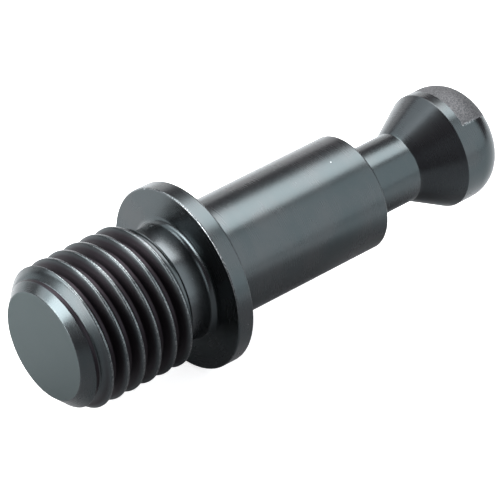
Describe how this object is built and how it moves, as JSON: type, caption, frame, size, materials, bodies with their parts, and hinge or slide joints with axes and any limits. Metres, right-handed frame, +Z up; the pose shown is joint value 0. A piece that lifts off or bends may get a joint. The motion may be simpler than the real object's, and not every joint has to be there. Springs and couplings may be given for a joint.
{
  "type": "quick change clamping post",
  "caption": "Turned steel post that screws into a base up to its flange, with a plain guiding shank, a thin neck and a coned clamping head.",
  "frame": {"origin": "centre of the flange's seating face, on the post's axis", "axes": "+X along the post, from the threaded end to the clamping head; +Z up with the post lying on its side"},
  "size_m": [0.071, 0.025, 0.025],
  "materials": {
    "black_oxide_steel": "turned steel with a satin black oxide finish: fine turning marks round the post, brighter worn edges"
  },
  "bodies": {
    "root": {"post": "black_oxide_steel"}
  },
  "joints": []
}
